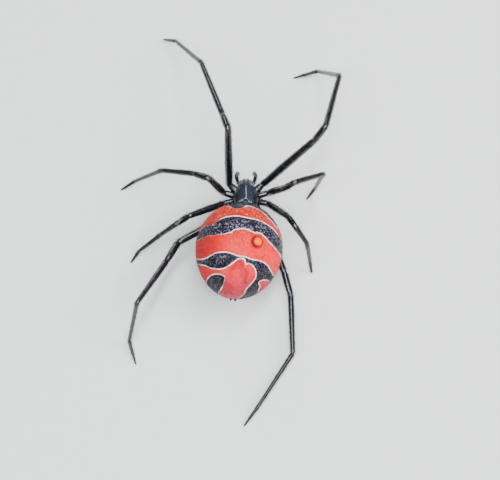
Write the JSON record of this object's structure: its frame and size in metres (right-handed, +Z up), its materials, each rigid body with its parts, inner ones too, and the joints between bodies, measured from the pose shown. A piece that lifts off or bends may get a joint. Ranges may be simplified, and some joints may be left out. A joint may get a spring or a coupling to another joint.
{
  "type": "black widow spider",
  "caption": "Glossy black spider model with a globe-shaped abdomen crossed by white-edged red bands, standing on long arched legs.",
  "frame": {"origin": "on the floor, under the middle of the spider's overall box", "axes": "+Z up, +Y towards the head, +X towards the spider's right side"},
  "size_m": [0.0224, 0.0414, 0.0104],
  "materials": {
    "black_shell": "glossy blue-black leg and head shell",
    "brown_shell": "glossy brownish-black shell of the feet, palps and fang bases",
    "banded_skin": "taut satin skin, violet-black with coral red bands edged in white",
    "orange_skin": "smooth wet-looking orange bead",
    "eye_lens": "polished dark lens"
  },
  "bodies": {
    "root": {"head_thorax": "black_shell", "eye_posterior_median_left": "eye_lens", "eye_posterior_median_right": "eye_lens", "eye_posterior_lateral_left": "eye_lens", "eye_posterior_lateral_right": "eye_lens", "eye_anterior_median_left": "eye_lens", "eye_anterior_median_right": "eye_lens", "eye_anterior_lateral_left": "eye_lens", "eye_anterior_lateral_right": "eye_lens", "chelicera_left": "brown_shell", "chelicera_right": "brown_shell", "pedipalp_left": "brown_shell", "pedipalp_right": "brown_shell", "pedicel": "brown_shell", "abdomen": "banded_skin", "abdomen_bead": "orange_skin", "spinnerets": "brown_shell", "leg_1_left_coxa": "black_shell", "leg_1_left_femur": "black_shell", "leg_1_left_patella": "black_shell", "leg_1_left_tibia": "black_shell", "leg_1_left_foot": "brown_shell", "leg_1_right_coxa": "black_shell", "leg_1_right_femur": "black_shell", "leg_1_right_patella": "black_shell", "leg_1_right_tibia": "black_shell", "leg_1_right_foot": "brown_shell", "leg_2_left_coxa": "black_shell", "leg_2_left_femur": "black_shell", "leg_2_left_patella": "black_shell", "leg_2_left_tibia": "black_shell", "leg_2_left_foot": "brown_shell", "leg_2_right_coxa": "black_shell", "leg_2_right_femur": "black_shell", "leg_2_right_patella": "black_shell", "leg_2_right_tibia": "black_shell", "leg_2_right_foot": "brown_shell", "leg_3_left_coxa": "black_shell", "leg_3_left_femur": "black_shell", "leg_3_left_patella": "black_shell", "leg_3_left_tibia": "black_shell", "leg_3_left_foot": "brown_shell", "leg_3_right_coxa": "black_shell", "leg_3_right_femur": "black_shell", "leg_3_right_patella": "black_shell", "leg_3_right_tibia": "black_shell", "leg_3_right_foot": "brown_shell", "leg_4_left_coxa": "black_shell", "leg_4_left_femur": "black_shell", "leg_4_left_patella": "black_shell", "leg_4_left_tibia": "black_shell", "leg_4_left_foot": "brown_shell", "leg_4_right_coxa": "black_shell", "leg_4_right_femur": "black_shell", "leg_4_right_patella": "black_shell", "leg_4_right_tibia": "black_shell", "leg_4_right_foot": "brown_shell"}
  },
  "joints": []
}
